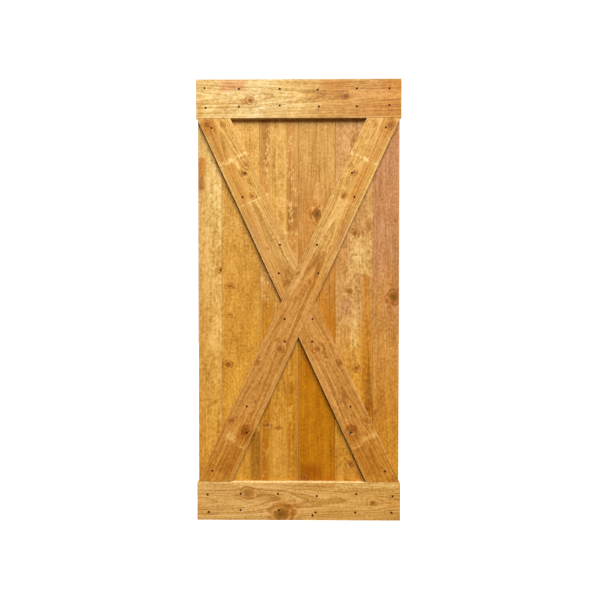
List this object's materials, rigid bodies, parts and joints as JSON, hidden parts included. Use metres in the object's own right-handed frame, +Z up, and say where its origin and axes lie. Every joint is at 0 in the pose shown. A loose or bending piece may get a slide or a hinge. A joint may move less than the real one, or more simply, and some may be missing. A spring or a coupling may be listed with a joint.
{
  "type": "sliding barn door",
  "caption": "Full-height door slab of tongue-and-groove planks with a rail across the top and bottom and a diagonal X brace screwed to its front.",
  "frame": {"origin": "bottom centre of the door's bounding box, on the plane where the front boards meet the planks", "axes": "+Z up along the door's height, +X to the right across its width as seen from the front, +Y out of the bare back; the braced front looks towards -Y"},
  "size_m": [0.988, 0.038, 2.134],
  "materials": {
    "golden_plank": "honey-stained knotty pine, satin",
    "orange_plank": "deep orange stained knotty pine, satin",
    "tan_plank": "tan stained knotty pine, satin",
    "rail_board": "pale golden stained pine, satin",
    "brace_board": "golden stained knotty pine, satin",
    "dark_screw": "black phosphate steel"
  },
  "bodies": {
    "root": {"plank_1": "golden_plank", "plank_2": "golden_plank", "plank_3": "golden_plank", "plank_4": "orange_plank", "plank_5": "tan_plank", "plank_6": "tan_plank", "top_rail": "rail_board", "bottom_rail": "rail_board", "long_brace": "brace_board", "upper_short_brace": "brace_board", "lower_short_brace": "brace_board", "top_rail_screws": "dark_screw", "bottom_rail_screws": "dark_screw", "long_brace_screws": "dark_screw", "upper_short_brace_screws": "dark_screw", "lower_short_brace_screws": "dark_screw"}
  },
  "joints": []
}
